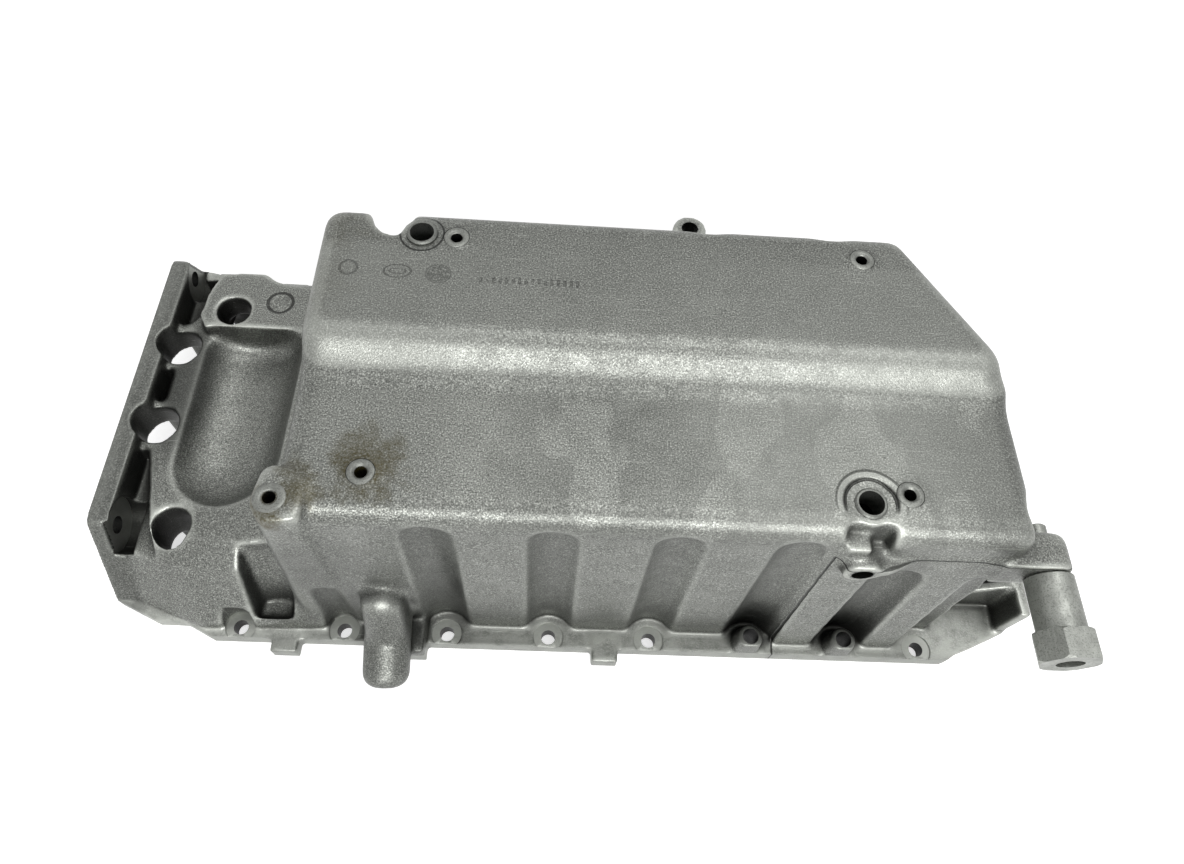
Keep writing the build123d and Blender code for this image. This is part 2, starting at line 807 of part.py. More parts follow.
def pan_casting():
    """The whole die casting."""
    body = rail() + gearbox_end() + box_body(0) + shelf(0) + right_end() + ledge()
    body = body + platform()
    body = body - saddle(0) - grooves()
    body = body - scallops(0) - waves(0)
    body = body - corner_recess()
    for x in boss_x:
        half = boss_diameter / 2 + boss_flare
        trim = block((x - half, x + half), (-rail_lip, half), (0, boss_height))
        foot = boss_diameter / 2 + boss_flare
        cone = Pos(x0 + x, y0, boss_height / 2) * Cone(foot, boss_diameter / 2, boss_height)
        body = body + (cone & trim)
    body = body + corner_lug() + front_tube() + eyelet() + front_boss() + sleeve_lug()
    drain_end = box_rear + drain_boss_reach
    body = body + pin_y(drain_x, drain_z, drain_boss, box_rear - 12, drain_end)
    body = body + floor_bosses() - cavity()
    body = body + pocket_walls() - bore_pockets() + bore_towers() + screw_roots()
    body = body - gearbox_hollow() + window_ribs()
    return body - holes()


def ring_dowel(place):
    """A ring dowel in its floor bore."""
    top = floor_at(place)
    outer = dowel_bore - 2 * press_clearance
    ring = post(place, outer, top - dowel_length, dowel_top(place) + dowel_proud)
    ring = chamfer(ring.edges().sort_by(Axis.Z)[-1], 0.6)
    return ring - post(place, dowel_inner, top - dowel_length - 1, top + 2)


def hex_sleeve():
    """Turned sleeve with a hexagon end, threaded from both ends."""
    end = sleeve_face_y - sleeve_length
    hex_end = end - hex_length
    body = pin_y(sleeve_x, sleeve_z, sleeve_diameter, end, sleeve_face_y)
    body = chamfer(body.edges().sort_by(Axis.Y)[-1], 0.8)
    nut = hex_y(sleeve_x, sleeve_z, hex_width, hex_end, end)
    trim = pin_y(sleeve_x, sleeve_z, hex_width * 1.15, hex_end, end)
    trim = chamfer(trim.edges().filter_by(GeomType.CIRCLE), 1.1)
    bore = pin_y(sleeve_x, sleeve_z, sleeve_thread, hex_end - 1, hex_end + sleeve_counterbore)
    tapped = pin_y(sleeve_x, sleeve_z, stud_diameter, hex_end, sleeve_face_y + 1)
    return body + (nut & trim) - bore - tapped


def lug_stud():
    """The stud through the lug, screwed into the sleeve."""
    start = sleeve_face_y - stud_in_sleeve
    stud = pin_y(sleeve_x, sleeve_z, stud_diameter, start, stud_end_y)
    return chamfer(stud.edges().filter_by(GeomType.CIRCLE), 0.7)


def drain_washer():
    """Sealing washer under the drain plug."""
    start = box_rear + drain_boss_reach
    ring = pin_y(drain_x, drain_z, drain_washer_diameter, start, start + drain_washer_thick)
    return ring - pin_y(drain_x, drain_z, drain_thread, start - 1, start + 3)


def drain_plug():
    """Hexagon drain plug in the rear wall."""
    seat = box_rear + drain_boss_reach + drain_washer_thick
    rim = seat + drain_flange_thick
    shank = pin_y(drain_x, drain_z, drain_thread, seat - drain_plug_length, seat)
    shank = chamfer(shank.edges().sort_by(Axis.Y)[0], 1.2)
    flange = pin_y(drain_x, drain_z, drain_flange, seat, rim)
    return shank + flange + hex_y(drain_x, drain_z, drain_hex, rim, rim + drain_hex_length)


nodes = {
    "pan_casting": pan_casting(),
    "ring_dowel_front": ring_dowel(dowel_places[0]),
    "ring_dowel_rear": ring_dowel(dowel_places[1]),
    "hex_sleeve": hex_sleeve(),
    "lug_stud": lug_stud(),
    "drain_plug": drain_plug(),
    "drain_washer": drain_washer(),
}

os.makedirs("parts", exist_ok=True)
for name, shape in nodes.items():
    export_step(shape, "parts/" + name + ".step")
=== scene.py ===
import json
import math
from collections import namedtuple

import bmesh
import bpy
import numpy as np
from mathutils import Matrix, Vector
from mathutils.bvhtree import BVHTree


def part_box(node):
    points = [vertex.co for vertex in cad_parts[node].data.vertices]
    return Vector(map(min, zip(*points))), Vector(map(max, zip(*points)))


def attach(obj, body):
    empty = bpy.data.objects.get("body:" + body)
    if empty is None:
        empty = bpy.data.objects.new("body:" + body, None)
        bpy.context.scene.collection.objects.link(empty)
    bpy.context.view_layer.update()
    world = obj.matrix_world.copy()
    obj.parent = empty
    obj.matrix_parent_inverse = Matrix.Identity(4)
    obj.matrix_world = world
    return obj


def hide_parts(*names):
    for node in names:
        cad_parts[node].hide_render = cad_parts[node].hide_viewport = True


# Engine oil pan lying on its gasket face. Metres, +Z up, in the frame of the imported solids.

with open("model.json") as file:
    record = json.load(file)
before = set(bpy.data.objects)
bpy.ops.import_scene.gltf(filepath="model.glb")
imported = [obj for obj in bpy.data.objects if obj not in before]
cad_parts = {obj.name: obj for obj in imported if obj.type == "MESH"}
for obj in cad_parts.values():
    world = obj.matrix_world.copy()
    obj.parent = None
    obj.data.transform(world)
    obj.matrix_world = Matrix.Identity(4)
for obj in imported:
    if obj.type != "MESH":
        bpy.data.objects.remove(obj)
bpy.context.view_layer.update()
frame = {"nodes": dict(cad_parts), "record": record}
record = frame["record"]
mounts = {mount["name"]: mount for mount in record["mounts"]}
nodes = frame["nodes"]

MM = 0.001

# Camera, worked out from the rail holes, the straight edges and the floor rings, and the paper floor
CAMERA_PLACE = (-20.22 * MM, -210.76 * MM, 417.76 * MM)
CAMERA_YAW = math.radians(5.53)
CAMERA_PITCH = math.radians(61.06)
CAMERA_ROLL = math.radians(7.42)
CAMERA_LENS = 25.08
SENSOR_WIDTH = 36.0
FLOOR_HALF = 6.0

# Casting skin: voxel, triangles and sharp edges, rounding, relief, and the rays that find the open sky
SKIN_VOXEL = 1.0 * MM
SKIN_TRIANGLES = 178000
SKIN_SHARP = math.radians(50)
RING_SHARP = math.radians(30)
MERGE_DISTANCE = 0.01 * MM
SETTLE_PASSES = 3
ROUND_PASSES = 12
ROUND_OUTWARD = 0.9
ROUND_INWARD = 0.30
CRISP_SHARE = 0.25
RELIEF_PASSES = 20
SHADE_RAYS = 18
SHADE_REACH = 45.0 * MM
SHADE_LIFT = 0.5 * MM
SHADE_SPREAD = 0.97
SHADE_SEED = 8
SHADE_PASSES = 4

# Heights and lengths that the casting's machining repeats
RAIL_TOP = 9.0 * MM
SPOT_LEVEL = 8.3 * MM
SPOT_RADIUS = 7.25 * MM
SPOT_REACH = 14.7 * MM
BOSS_HEIGHT = 23.0 * MM
HOLE_MARGIN = 1.0 * MM
PLUG_MARGIN = 0.3 * MM
DRILL_CLEAR = 1.5 * MM
FACE_GAP = 0.05 * MM
GEARBOX_SPOT_RADIUS = 13.5 * MM
GEARBOX_SPOT_REACH = 9.0 * MM
GEARBOX_PLATE = 7.0 * MM
DOWEL_RADIUS = 6.53 * MM
DOWEL_LENGTH = 12.0 * MM
SCREW_RING_RADIUS = 5.6 * MM
SCREW_DEPTH = 12.8 * MM
SCREW_SEAT = 1.1 * MM
LUG_RING_RADIUS = 6.3 * MM
LUG_RING_PROUD = 0.35 * MM
RING_GAP = 0.06 * MM
ROUND_SEGMENTS = 64

# Levels of the two floors, and the middles of the dowels
LOW_FLOOR = mounts["floor_screws_front"]["pos_m"][2]
HIGH_FLOOR = mounts["floor_screws_rear"]["pos_m"][2]
DOWEL_FRONT = mounts["ring_bore_front"]["pos_m"]
DOWEL_REAR = mounts["ring_bore_rear"]["pos_m"]

# Foundry marks on the high floor
MARK_LINE = 0.5 * MM
MARK_CIRCLE = (-108.5 * MM, 13.0 * MM)
MARK_CIRCLE_RADIUS = 3.6 * MM
MARK_OVAL = (-88.2 * MM, 12.4 * MM)
MARK_OVAL_RADII = (5.6 * MM, 3.4 * MM)
MARK_INNER_RADII = (3.4 * MM, 1.4 * MM)
MARK_ROW = (-32.0 * MM, 10.2 * MM)
MARK_ROW_HALF = (23.0 * MM, 1.8 * MM)
MARK_BAR_PITCH = 2.7 * MM
DIAL = (-71.2 * MM, 12.0 * MM)
DIAL_RADII = (5.2 * MM, 4.8 * MM)
DIAL_DOTS_RADII = (5.0 * MM, 4.6 * MM)

# Fine grooves and beads that the finish adds
FRONT_GROOVE = 10.2 * MM
REAR_GROOVE = 9.3 * MM
DOWEL_BEAD = 12.4 * MM
PAD = (-166.75 * MM, 55.5 * MM, 60.0 * MM)
PAD_RADIUS = 6.4 * MM
PARTING_X = 93.7 * MM
PARTING_Z = 113.6 * MM
PARTING_HALF = 0.5 * MM
PARTING_SOFT = 0.3 * MM

# Places of the painted shade and painted light, of the worn boss tops and of the handled patches
FRONT_WALL = -90.0 * MM
FLANGE_END = -217.0 * MM
TUBE_START = -104.0 * MM
TROUGH_SIDE = (-206.0 * MM, 5.0 * MM)
TROUGH_SIDE_RADII = (15.0 * MM, 52.0 * MM)
TROUGH_EDGE = 62.0 * MM
COLUMN = (-124.0 * MM, -97.0 * MM, 85.0 * MM)
COLUMN_REACH = 42.0 * MM
BOSS_TOP_RADIUS = 6.4 * MM
SLOPE_SPAN_X = (35.0 * MM, 165.0 * MM)
SLOPE_SPAN_Y = (-15.0 * MM, 45.0 * MM)
SLOPE_MIDDLE_X = 10.0 * MM
# Painted light on the right of the low floor: its place and reach
PAINTED_LIGHT_FLOOR = (100.0 * MM, -55.0 * MM, 133.0 * MM)
PAINTED_LIGHT_REACH = 90.0 * MM
HANDLED_START = -60.0 * MM

# Brown oil stains: place, reach and strength
OIL_BROWN = (0.050, 0.040, 0.008, 1.0)
STAINS = (
    ((-91.0 * MM, -73.0 * MM, 132.0 * MM), 19.0 * MM, 1.0),
    ((-94.0 * MM, -67.0 * MM, 132.0 * MM), 15.0 * MM, 0.8),
    ((-131.5 * MM, -90.0 * MM, 133.5 * MM), 9.5 * MM, 1.0),
    ((-125.0 * MM, -97.0 * MM, 132.0 * MM), 9.5 * MM, 1.0),
    ((-113.0 * MM, -84.0 * MM, 132.0 * MM), 11.0 * MM, 0.9),
    ((-118.0 * MM, -75.0 * MM, 133.0 * MM), 9.0 * MM, 0.7),
    ((-121.0 * MM, 39.0 * MM, 140.0 * MM), 26.0 * MM, 0.22),
    ((-120.0 * MM, 2.0 * MM, 138.0 * MM), 22.0 * MM, 0.15),
    ((-80.0 * MM, -99.0 * MM, 127.0 * MM), 5.0 * MM, 0.5),
    ((-91.0 * MM, -99.5 * MM, 127.0 * MM), 5.0 * MM, 0.4),
)


# Small mesh helpers

def mesh_object(name, points, faces):
    """A new mesh object from an array of points and a list of faces."""
    mesh = bpy.data.meshes.new(name)
    mesh.from_pydata(np.asarray(points).tolist(), [], faces)
    mesh.update()
    piece = bpy.data.objects.new(name, mesh)
    bpy.context.scene.collection.objects.link(piece)
    return piece


def lathe(profile, place, axis, ring=False):
    """Points and faces of a closed turned shape.

    Point (i, k) is place + height_i * axis + radius_i * (cos t_k * side + sin t_k * other), for t_k evenly
    round the circle. A solid profile runs from foot to tip and is closed by a fan on the axis at either end.
    A ring's profile joins its last point to its first."""
    radii = np.array([p[0] for p in profile])
    heights = np.array([p[1] for p in profile])
    axis = np.array(axis, float)
    side = np.cross(axis, (1.0, 0.0, 0.0)) if abs(axis[0]) < 0.5 else np.cross(axis, (0.0, 0.0, 1.0))
    side = side / np.linalg.norm(side)
    other = np.cross(axis, side)
    turn = np.linspace(0, 2 * np.pi, ROUND_SEGMENTS, endpoint=False)
    circle = np.cos(turn)[:, None] * side + np.sin(turn)[:, None] * other
    points = (np.array(place) + heights[:, None, None] * axis + radii[:, None, None] * circle).reshape(-1, 3)
    rows = len(profile)
    here = np.arange(ROUND_SEGMENTS)
    after = (here + 1) % ROUND_SEGMENTS
    faces = []
    for i in range(rows if ring else rows - 1):
        low = i * ROUND_SEGMENTS
        high = (i + 1) % rows * ROUND_SEGMENTS
        faces.extend(np.stack([low + here, low + after, high + after, high + here], axis=1).tolist())
    if ring:
        return points, faces
    foot = np.full(ROUND_SEGMENTS, len(points))
    last = (rows - 1) * ROUND_SEGMENTS
    fans = np.stack([foot, after, here, foot + 1, last + here, last + after], axis=1)
    faces.extend(fans.reshape(-1, 3).tolist())
    ends = [np.array(place) + heights[i] * axis for i in (0, -1)]
    return np.vstack([points, *ends]), faces


def joined(shapes):
    """Several point and face lists as one."""
    points = []
    faces = []
    start = 0
    for some_points, some_faces in shapes:
        points.append(some_points)
        faces.extend([tuple(i + start for i in face) for face in some_faces])
        start += len(some_points)
    return np.vstack(points), faces


def evaluated_mesh(piece):
    """The piece's mesh with its modifiers applied."""
    bpy.context.view_layer.update()
    graph = bpy.context.evaluated_depsgraph_get()
    return bpy.data.meshes.new_from_object(piece.evaluated_get(graph))


def apply_modifiers(piece):
    """Puts the finished mesh into the piece and drops its modifiers."""
    mesh = evaluated_mesh(piece)
    piece.modifiers.clear()
    piece.data = mesh


# Holes and spot faces of the casting, from the record's mounts

Hole = namedtuple("Hole", "place axis radius length spot spot_reach through")


def pattern_places(mount):
    """The middle of every hole of a bolt pattern, on the mount's own plane."""
    dims = mount["dims"]
    step_x = dims["spacing_x_mm"] * MM
    step_y = dims.get("spacing_y_mm", 0.0) * MM
    faces_along_x = abs(mount["axis"][0]) > 0.5
    places = []
    for i in (-0.5, 0.5):
        for j in (-0.5, 0.5) if step_y else (0.0,):
            offset = (j * step_y, i * step_x, 0.0) if faces_along_x else (i * step_x, j * step_y, 0.0)
            places.append(np.array(mount["pos_m"]) + np.array(offset))
    return places


def scallop_places():
    """The x of every scallop: behind each front bolt of the rail from the third on."""
    front = []
    for name in ("rail_corner_bolts", "rail_outer_bolts", "rail_inner_bolts", "boss_bolts"):
        front.extend(place[0] for place in pattern_places(mounts[name]) if place[1] < 0)
    return sorted(front)[2:]


def pattern_holes(name, mount):
    """The holes of a bolt pattern, each with the spot face of its place."""
    radius = mount["dims"]["hole_r_mm"] * MM
    up = np.array((0.0, 0.0, 1.0))
    inward = np.array((1.0, 0.0, 0.0))
    holes = []
    for place in pattern_places(mount):
        if name == "gearbox_bolts":
            middle = place + inward * GEARBOX_PLATE / 2
            hole = Hole(middle, inward, radius, GEARBOX_PLATE, GEARBOX_SPOT_RADIUS, GEARBOX_SPOT_REACH, True)
        elif name == "boss_bolts":
            hole = Hole(place + up * BOSS_HEIGHT / 2, up, radius, BOSS_HEIGHT, 0.0, 0.0, True)
        elif name.startswith("floor_screws"):
            length = SCREW_DEPTH - SCREW_SEAT
            middle = place - up * (SCREW_SEAT + length / 2)
            hole = Hole(middle, up, radius, length, SCREW_RING_RADIUS, SCREW_SEAT + 2 * MM, False)
        else:
            hole = Hole(place + up * SPOT_LEVEL / 2, up, radius, SPOT_LEVEL, SPOT_RADIUS, SPOT_REACH, True)
        holes.append(hole)
    return holes


def hole_places():
    """Every drilled hole of the casting, from the record's mounts."""
    holes = []
    for name, mount in mounts.items():
        if mount["kind"] == "bolt_pattern":
            holes.extend(pattern_holes(name, mount))
        if mount["kind"] not in ("bore", "threaded_hole") or name == "sleeve_end_thread":
            continue
        place = np.array(mount["pos_m"])
        axis = np.array(mount["axis"], float)
        radius = mount["dims"]["r_mm"] * MM
        length = mount["dims"]["length_mm"] * MM
        if name.startswith("ring_bore"):
            middle = place - axis * (length - DOWEL_LENGTH) / 2
            reach = DOWEL_LENGTH + 2 * MM
            holes.append(Hole(middle, axis, radius, DOWEL_LENGTH, DOWEL_RADIUS, reach, False))
        else:
            through = name in ("tube_bore", "eyelet_bore")
            holes.append(Hole(place, axis, radius, length, 0.0, 0.0, through))
    return holes


def hole_plugs(holes):
    """Closed cylinders that fill the drilled holes before the casting is rounded."""
    shapes = []
    for hole in holes:
        half = hole.length / 2
        profile = [(hole.radius + PLUG_MARGIN, -half), (hole.radius + PLUG_MARGIN, half)]
        shapes.append(lathe(profile, hole.place, hole.axis))
        if hole.spot == DOWEL_RADIUS:
            radius = hole.spot + PLUG_MARGIN
            profile = [(radius, half - MM), (radius, half + DOWEL_LENGTH - MM)]
            shapes.append(lathe(profile, hole.place, hole.axis))
    return joined(shapes)


def hole_cutters(holes):
    """Closed stepped drills that cut the holes, and their spot faces, after the casting is rounded."""
    shapes = []
    for hole in holes:
        half = hole.length / 2
        low = -half - (HOLE_MARGIN if hole.through else 0.0)
        profile = [(hole.radius, low), (hole.radius, half + DRILL_CLEAR)]
        if hole.spot:
            spot = [(hole.spot, half), (hole.spot, half + hole.spot_reach)]
            profile = [(hole.radius, low), (hole.radius, half), *spot]
        shapes.append(lathe(profile, hole.place, hole.axis))
    return joined(shapes)


def machined_faces(mesh, holes):
    """Stores 1 on the flat spot faces and 0.5 on the drilled walls, as the face attribute machined."""
    centres = np.zeros(len(mesh.polygons) * 3)
    mesh.polygons.foreach_get("center", centres)
    centres = centres.reshape(-1, 3)
    normals = np.zeros(len(mesh.polygons) * 3)
    mesh.polygons.foreach_get("normal", normals)
    normals = normals.reshape(-1, 3)
    value = np.zeros(len(mesh.polygons), np.float32)
    for hole in holes:
        offset = centres - hole.place
        height = offset @ hole.axis
        distance = np.linalg.norm(offset - height[:, None] * hole.axis, axis=1)
        lean = np.abs(normals @ hole.axis)
        half = hole.length / 2
        wall = (distance < hole.radius + FACE_GAP) & (np.abs(height) < half + 2 * MM) & (lean < 0.3)
        value[wall] = 0.5
        if hole.spot:
            flat = (distance < hole.spot + FACE_GAP) & (np.abs(height - half) < FACE_GAP) & (lean > 0.9)
            value[flat] = 1.0
    attribute = mesh.attributes.new("machined", "FLOAT", "FACE")
    attribute.data.foreach_set("value", value)


def screw_rings():
    """The turned faces round the four floor screws and the corner lug's screw, one ring each."""
    shapes = []
    for name, mount in mounts.items():
        if not name.startswith("floor_screws"):
            continue
        for place in pattern_places(mount):
            shapes.append(screw_ring(place, mount["dims"]["hole_r_mm"] * MM, SCREW_RING_RADIUS - RING_GAP))
    lug = mounts["corner_lug_screw"]
    top = np.array(lug["pos_m"]) + np.array((0.0, 0.0, lug["dims"]["length_mm"] * MM / 2 + LUG_RING_PROUD))
    shapes.append(screw_ring(top, lug["dims"]["r_mm"] * MM, LUG_RING_RADIUS))
    return mesh_object("screw_rings", *joined(shapes))


def screw_ring(place, inner, outer):
    """One turned ring with its top at a place.

    Its profile goes from the hole along the seat, up the outer chamfer, across the flat top and down the
    small inner chamfer."""
    profile = [
        (inner, -SCREW_SEAT),
        (outer, -SCREW_SEAT),
        (outer, -0.62 * MM),
        (outer - 0.3 * MM, -0.25 * MM),
        (outer - 0.9 * MM, -0.04 * MM),
        (outer - 1.4 * MM, 0.0),
        (inner + 1.1 * MM, 0.0),
        (inner + 0.7 * MM, -0.15 * MM),
        (inner, -0.9 * MM),
    ]
    return lathe(profile, place, (0.0, 0.0, 1.0), ring=True)


# The rounded casting

def edge_pairs(mesh):
    """The two vertex numbers of every edge, as arrays."""
    pairs = np.zeros(len(mesh.edges) * 2, np.int64)
    mesh.edges.foreach_get("vertices", pairs)
    return pairs[0::2], pairs[1::2]


def neighbour_count(first, second, size):
    """How many neighbours each vertex has, at least 1."""
    return np.maximum(np.bincount(first, minlength=size) + np.bincount(second, minlength=size), 1)


def neighbour_mean(points, first, second, degree):
    """The mean of each vertex's neighbours."""
    total = np.empty_like(points)
    size = len(points)
    for axis in range(3):
        column = points[:, axis]
        total[:, axis] = np.bincount(first, column[second], size) + np.bincount(second, column[first], size)
    return total / degree[:, None]


def mesh_points(mesh):
    """The vertex places as an array."""
    flat = np.zeros(len(mesh.vertices) * 3, np.float64)
    mesh.vertices.foreach_get("co", flat)
    return flat.reshape(-1, 3)


def mesh_normals(mesh):
    """The vertex normals as an array."""
    flat = np.zeros(len(mesh.vertices) * 3, np.float32)
    mesh.vertex_normals.foreach_get("vector", flat)
    return flat.reshape(-1, 3).astype(np.float64)


def smooth_step(values, low, high):
    """0 below low, 1 above high, and 3t^2 - 2t^3 between."""
    t = np.clip((values - low) / (high - low), 0.0, 1.0)
    return t * t * (3 - 2 * t)


def rounding_share(points):
    """How much each point of the casting may round.

    None on the gasket face and the flange's outer face, little on the rail and the flange plate, and all of
    it on the box: the product of smooth steps of the point's height and of its distance from the flange."""
    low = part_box("pan_casting")[0]
    above_gasket = smooth_step(points[:, 2], low[2] + 0.4 * MM, low[2] + 2.5 * MM)
    behind_flange = smooth_step(points[:, 0], low[0] + 0.4 * MM, low[0] + 2.5 * MM)
    over_rail = smooth_step(points[:, 2], RAIL_TOP + 0.2 * MM, RAIL_TOP + 4 * MM)
    off_flange = smooth_step(points[:, 0], low[0] + 9 * MM, low[0] + 15 * MM)
    free = np.minimum(over_rail, off_flange)
    return above_gasket * behind_flange * (CRISP_SHARE + (1 - CRISP_SHARE) * free)


def round_casting(mesh):
    """Rounds the casting as a die does, and stores how far each place stands out or lies in.

    A point moves towards the mean of its neighbours, by a large share where that is outwards, which fills
    inner corners, and by a small share where it is inwards, which leaves outer edges crisp. The height above
    the widely smoothed surface is kept as the attribute relief."""
    first, second = edge_pairs(mesh)
    size = len(mesh.vertices)
    degree = neighbour_count(first, second, size)
    points = mesh_points(mesh)
    share = rounding_share(points)
    for _ in range(SETTLE_PASSES):
        points += 0.5 * (neighbour_mean(points, first, second, degree) - points) * share[:, None]
    for _ in range(ROUND_PASSES):
        mesh.vertices.foreach_set("co", points.ravel())
        mesh.update()
        normals = mesh_normals(mesh)
        move = neighbour_mean(points, first, second, degree) - points
        height = np.einsum("ij,ij->i", move, normals)
        amount = np.where(height > 0, ROUND_OUTWARD, ROUND_INWARD) * share
        sideways = move - height[:, None] * normals
        points += (height * amount)[:, None] * normals + 0.4 * sideways * share[:, None]
    mesh.vertices.foreach_set("co", points.ravel())
    mesh.update()
    normals = mesh_normals(mesh)
    wide = points.copy()
    for _ in range(RELIEF_PASSES):
        wide += 0.7 * (neighbour_mean(wide, first, second, degree) - wide)
    relief = np.einsum("ij,ij->i", points - wide, normals) / MM
    attribute = mesh.attributes.new("relief", "FLOAT", "POINT")
    attribute.data.foreach_set("value", relief.astype(np.float32))


def shade_casting(mesh):
    """Stores how much of the sky each point sees as the attribute open: 0 in a hollow, 1 on a free face.

    From each point, seeded rays go out round its normal. The share of them that meets nothing within the
    reach is averaged with that of the point's neighbours."""
    points = mesh_points(mesh)
    normals = mesh_normals(mesh)
    tree = BVHTree.FromPolygons([Vector(p) for p in points], [tuple(f.vertices) for f in mesh.polygons])
    spread = np.random.default_rng(SHADE_SEED).normal(size=(SHADE_RAYS, 3))
    spread = spread / np.linalg.norm(spread, axis=1)[:, None]
    starts = points + normals * SHADE_LIFT
    free = np.zeros(len(points))
    for ray in spread:
        ways = normals + SHADE_SPREAD * ray
        for i, (start, way) in enumerate(zip(starts.tolist(), ways.tolist())):
            if tree.ray_cast(start, way, SHADE_REACH)[0] is None:
                free[i] += 1
    free = free / SHADE_RAYS
    first, second = edge_pairs(mesh)
    degree = neighbour_count(first, second, len(points))
    value = free[:, None] * np.ones(3)
    for _ in range(SHADE_PASSES):
        value += 0.6 * (neighbour_mean(value, first, second, degree) - value)
    attribute = mesh.attributes.new("open", "FLOAT", "POINT")
    attribute.data.foreach_set("value", value[:, 0].astype(np.float32))


def cut_with(piece, cutter):
    """Takes the cutter's space out of the piece."""
    cut = piece.modifiers.new("cut", "BOOLEAN")
    cut.operation = "DIFFERENCE"
    cut.solver = "MANIFOLD"
    cut.object = cutter
    apply_modifiers(piece)
    bpy.data.objects.remove(cutter)


def casting_skin():
    """The casting as poured and then machined: a merged copy, filled, rounded, thinned and drilled."""
    mesh = nodes["pan_casting"].data.copy()
    copy = bmesh.new()
    copy.from_mesh(mesh)
    bmesh.ops.remove_doubles(copy, verts=copy.verts, dist=MERGE_DISTANCE)
    copy.to_mesh(mesh)
    copy.free()
    holes = hole_places()
    plug_points, plug_faces = hole_plugs(holes)
    size = len(mesh.vertices)
    points = np.vstack([mesh_points(mesh), plug_points])
    faces = [tuple(polygon.vertices) for polygon in mesh.polygons]
    faces += [tuple(i + size for i in face) for face in plug_faces]
    skin = mesh_object("casting_skin", points, faces)
    remesh = skin.modifiers.new("remesh", "REMESH")
    remesh.mode = "VOXEL"
    remesh.voxel_size = SKIN_VOXEL
    apply_modifiers(skin)
    round_casting(skin.data)
    triangles = sum(len(polygon.vertices) - 2 for polygon in skin.data.polygons)
    thin = skin.modifiers.new("thin", "DECIMATE")
    thin.ratio = min(1.0, SKIN_TRIANGLES / triangles)
    apply_modifiers(skin)
    cutter = mesh_object("drills", *hole_cutters(holes))
    cut_with(skin, cutter)
    shade_casting(skin.data)
    machined_faces(skin.data, holes)
    skin.data.shade_smooth()
    skin.data.set_sharp_from_angle(angle=SKIN_SHARP)
    skin.data.name = "casting_skin"
    return skin


# Materials

